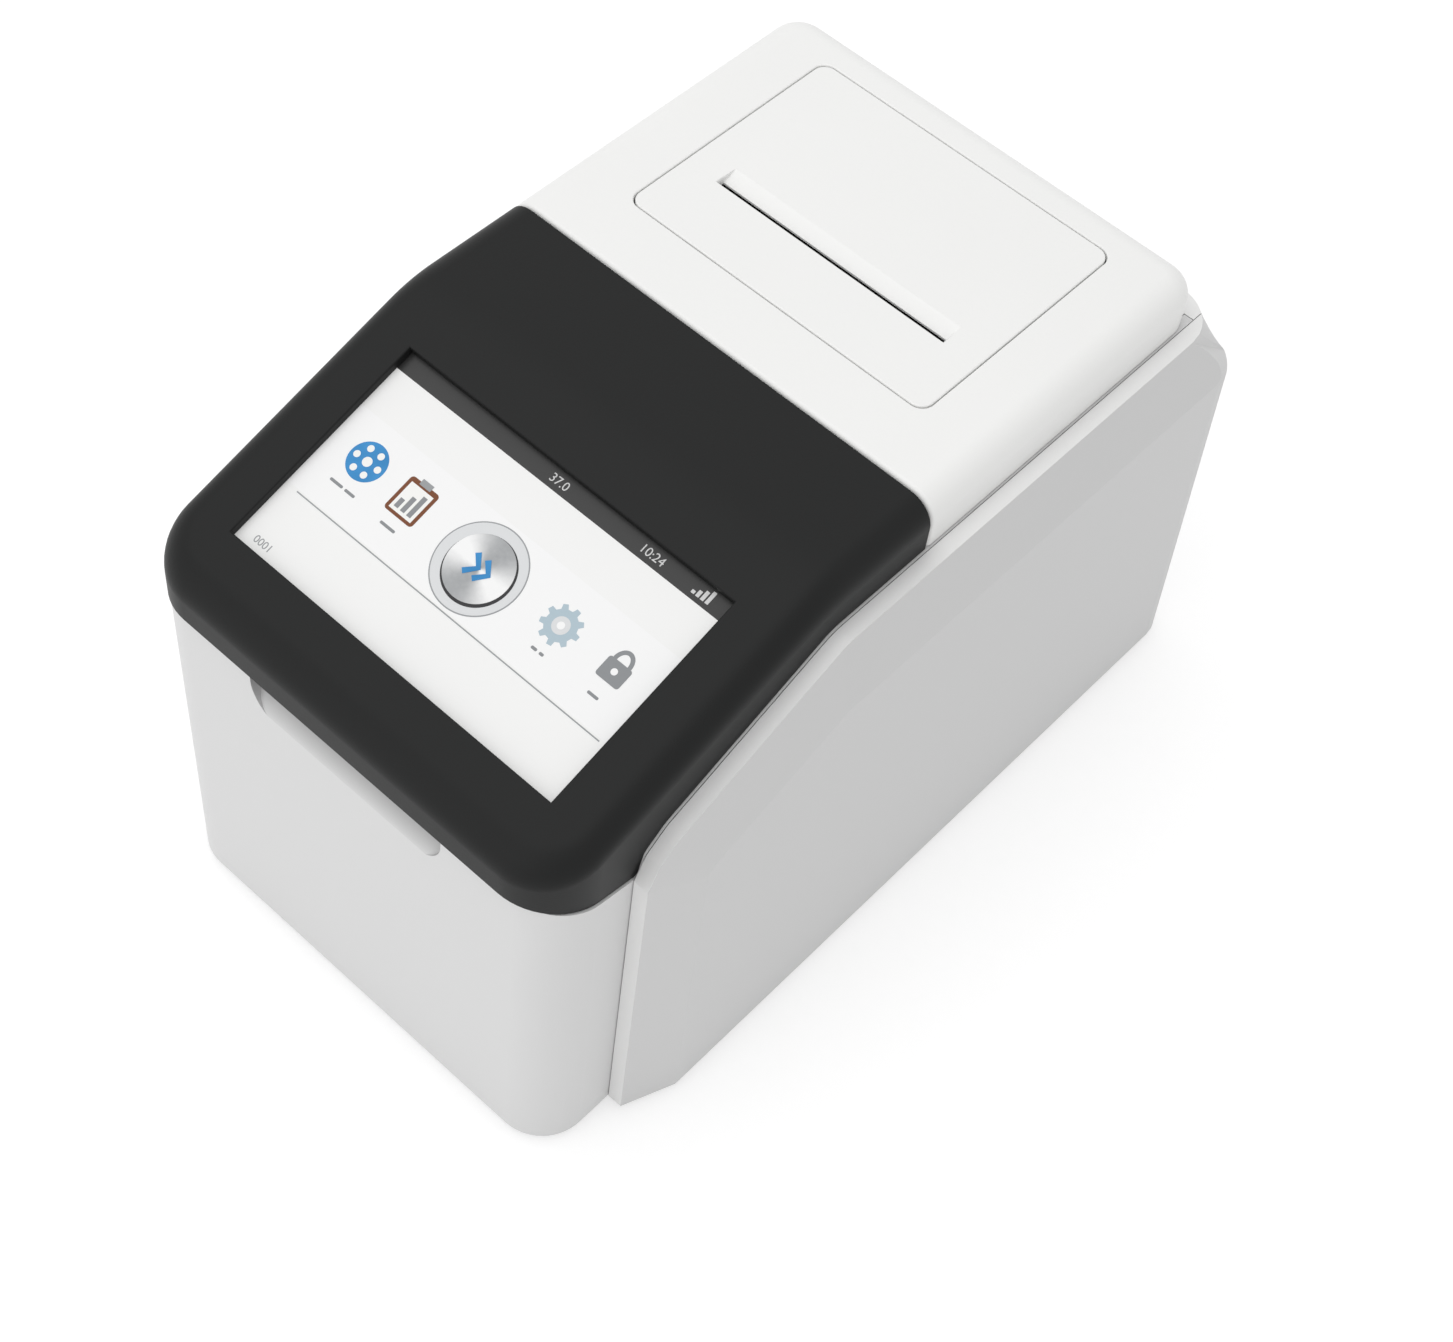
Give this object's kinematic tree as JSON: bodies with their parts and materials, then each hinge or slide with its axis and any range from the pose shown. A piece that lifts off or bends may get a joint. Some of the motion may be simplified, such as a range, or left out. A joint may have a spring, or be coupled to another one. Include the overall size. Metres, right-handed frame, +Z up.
{
  "type": "dry chemistry analyzer",
  "caption": "Desktop dry chemistry analyzer: flip-up display lid over a slide turntable, receipt printer under a top hatch, faceted grey side panels.",
  "frame": {"origin": "middle of the footprint, on the surface that the feet rest on", "axes": "+X to the right seen from the front, +Y to the rear, +Z up; the display lid is at -Y"},
  "size_m": [0.1462, 0.242, 0.1513],
  "materials": {
    "white_shell": "satin moulded ABS",
    "white_cover": "satin moulded ABS",
    "grey_panel": "fine matt moulded ABS",
    "dark_visor": "satin black moulded plastic",
    "display_face": "smooth touch glass over a lit display",
    "lens_glass": "clear",
    "steel_plate": "zinc plated",
    "bare_aluminium": "machined",
    "brass": "machined",
    "foot_rubber": "matt",
    "black_plastic": "moulded",
    "gear_plastic": "natural acetal",
    "circuit_board": "solder mask",
    "deck_plastic": "moulded",
    "paper": "smooth thermal paper"
  },
  "bodies": {
    "housing": {"lower_housing": "white_shell", "side_panel_left": "grey_panel", "side_panel_right": "grey_panel", "top_cover": "white_cover", "rear_panel": "grey_panel", "base_plate": "steel_plate", "foot_front_left": "foot_rubber", "foot_front_right": "foot_rubber", "foot_rear_left": "foot_rubber", "foot_rear_right": "foot_rubber", "deck_plate": "deck_plastic", "drive_plate": "steel_plate", "bulkhead": "steel_plate", "hinge_bracket_left": "steel_plate", "hinge_bracket_right": "steel_plate", "hinge_pin_left": "steel_plate", "hinge_pin_right": "steel_plate", "hatch_pin_left": "steel_plate", "hatch_pin_right": "steel_plate", "printer_frame": "black_plastic", "print_head": "bare_aluminium", "printer_motor": "steel_plate", "turntable_bearing": "brass", "stepper_motor": "black_plastic", "heater_block": "bare_aluminium", "photometer_head": "black_plastic", "photometer_lens": "lens_glass", "lamp_module": "black_plastic", "lid_sensor": "black_plastic", "main_board": "circuit_board", "power_supply": "steel_plate", "power_inlet": "black_plastic", "network_port": "steel_plate", "usb_port": "steel_plate", "serial_port": "steel_plate", "switch_frame": "black_plastic", "fan_frame": "black_plastic"},
    "lid": {"lid_shell": "dark_visor", "touch_glass": "display_face", "display_panel": "steel_plate", "display_board": "circuit_board", "lid_inner_cover": "black_plastic", "lid_magnet": "steel_plate", "hinge_arm_left": "steel_plate", "hinge_arm_right": "steel_plate"},
    "hatch": {"printer_hatch": "white_cover"},
    "turntable": {"turntable": "bare_aluminium", "ring_gear": "gear_plastic", "turntable_shaft": "steel_plate"},
    "drive_pinion": {"motor_pinion": "brass"},
    "platen": {"platen_roller": "foot_rubber", "platen_gear": "gear_plastic"},
    "print_pinion": {"printer_pinion": "brass"},
    "paper_roll": {"paper_roll": "paper"},
    "rocker": {"power_rocker": "black_plastic"},
    "fan_rotor": {"fan_rotor": "black_plastic"}
  },
  "joints": [
    {"name": "lid_hinge", "type": "hinge", "parent": "housing", "child": "lid", "pos_m": [0, 0.0015, 0.1463], "axis": [-1, 0, 0], "range_deg": [0, 70]},
    {"name": "hatch_hinge", "type": "hinge", "parent": "housing", "child": "hatch", "pos_m": [0, 0.0724, 0.1483], "axis": [-1, 0, 0], "range_deg": [0, 80]},
    {"name": "turntable_spin", "type": "hinge", "parent": "housing", "child": "turntable", "pos_m": [0, -0.06, 0.09], "axis": [0, 0, 1], "continuous": true},
    {"name": "pinion_spin", "type": "hinge", "parent": "housing", "child": "drive_pinion", "pos_m": [0, -0.0225, 0.0874], "axis": [0, 0, 1], "continuous": true},
    {"name": "platen_spin", "type": "hinge", "parent": "housing", "child": "platen", "pos_m": [0, 0.0365, 0.138], "axis": [1, 0, 0], "continuous": true},
    {"name": "print_pinion_spin", "type": "hinge", "parent": "housing", "child": "print_pinion", "pos_m": [0.0425, 0.0365, 0.1252], "axis": [1, 0, 0], "continuous": true},
    {"name": "roll_spin", "type": "hinge", "parent": "housing", "child": "paper_roll", "pos_m": [0, 0.0607, 0.1225], "axis": [1, 0, 0], "continuous": true},
    {"name": "rocker_press", "type": "hinge", "parent": "housing", "child": "rocker", "pos_m": [0.036, 0.11548, 0.04414], "axis": [1, 0, 0], "range_deg": [-24, 0]},
    {"name": "fan_spin", "type": "hinge", "parent": "housing", "child": "fan_rotor", "pos_m": [-0.03, 0.10409, 0.07601], "axis": [0, 0.9928, 0.1195], "continuous": true}
  ],
  "couplings": [
    {"joint": "pinion_spin", "follows": "turntable_spin", "ratio": -4},
    {"joint": "print_pinion_spin", "follows": "platen_spin", "ratio": -1.6667}
  ]
}
